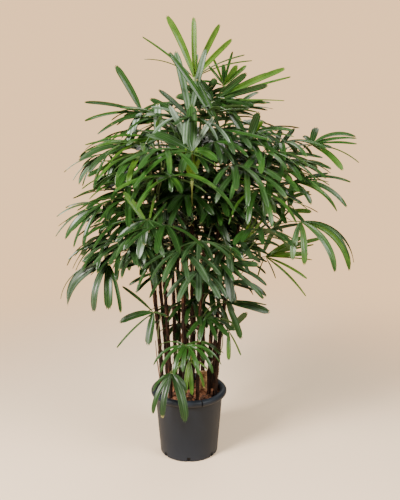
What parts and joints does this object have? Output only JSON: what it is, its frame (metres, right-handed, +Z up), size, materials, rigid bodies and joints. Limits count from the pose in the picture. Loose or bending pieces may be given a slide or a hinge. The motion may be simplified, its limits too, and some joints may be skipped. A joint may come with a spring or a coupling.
{
  "type": "potted lady palm",
  "caption": "Tall clump-forming fan palm: slender fibre-covered canes with drooping finger-like fan leaves, growing in a round dark nursery pot with a rolled rim.",
  "frame": {"origin": "middle of the pot's underside, on the floor", "axes": "+Z up; the plant's front looks along -Y and its longer fronds reach to +X"},
  "size_m": [1.1658, 1.0839, 1.7496],
  "materials": {
    "pot_plastic": "dark warm grey moulded plastic, fine satin sheen",
    "soil": "moist potting mix bound by roots",
    "coir": "loose reddish brown coir chips",
    "bark": "rough tan bark",
    "cane_fibre": "coarse dark brown fibre sheath",
    "leaf": "waxy green leaf with a soft sheen"
  },
  "bodies": {
    "root": {"pot": "pot_plastic", "root_ball": "soil", "coir_mulch": "coir", "bark_block": "bark", "dead_petiole": "cane_fibre", "cane_01": "cane_fibre", "cane_02": "cane_fibre", "cane_03": "cane_fibre", "cane_04": "cane_fibre", "cane_05": "cane_fibre", "cane_06": "cane_fibre", "cane_07": "cane_fibre", "cane_08": "cane_fibre", "cane_09": "cane_fibre", "cane_10": "cane_fibre", "cane_11": "cane_fibre", "cane_12": "cane_fibre", "cane_13": "cane_fibre", "cane_14": "cane_fibre", "frond_01": "leaf", "frond_02": "leaf", "frond_03": "leaf", "frond_04": "leaf", "frond_05": "leaf", "frond_06": "leaf", "frond_07": "leaf", "frond_08": "leaf", "frond_09": "leaf", "frond_10": "leaf", "frond_11": "leaf", "frond_12": "leaf", "frond_13": "leaf", "frond_14": "leaf", "frond_15": "leaf", "frond_16": "leaf", "frond_17": "leaf", "frond_18": "leaf", "frond_19": "leaf", "frond_20": "leaf", "frond_21": "leaf", "frond_22": "leaf", "frond_23": "leaf", "frond_24": "leaf", "frond_25": "leaf", "frond_26": "leaf", "frond_27": "leaf", "frond_28": "leaf", "frond_29": "leaf", "frond_30": "leaf", "frond_31": "leaf", "frond_32": "leaf", "frond_33": "leaf", "frond_34": "leaf", "frond_35": "leaf", "frond_36": "leaf", "frond_37": "leaf", "frond_38": "leaf", "frond_39": "leaf"}
  },
  "joints": []
}
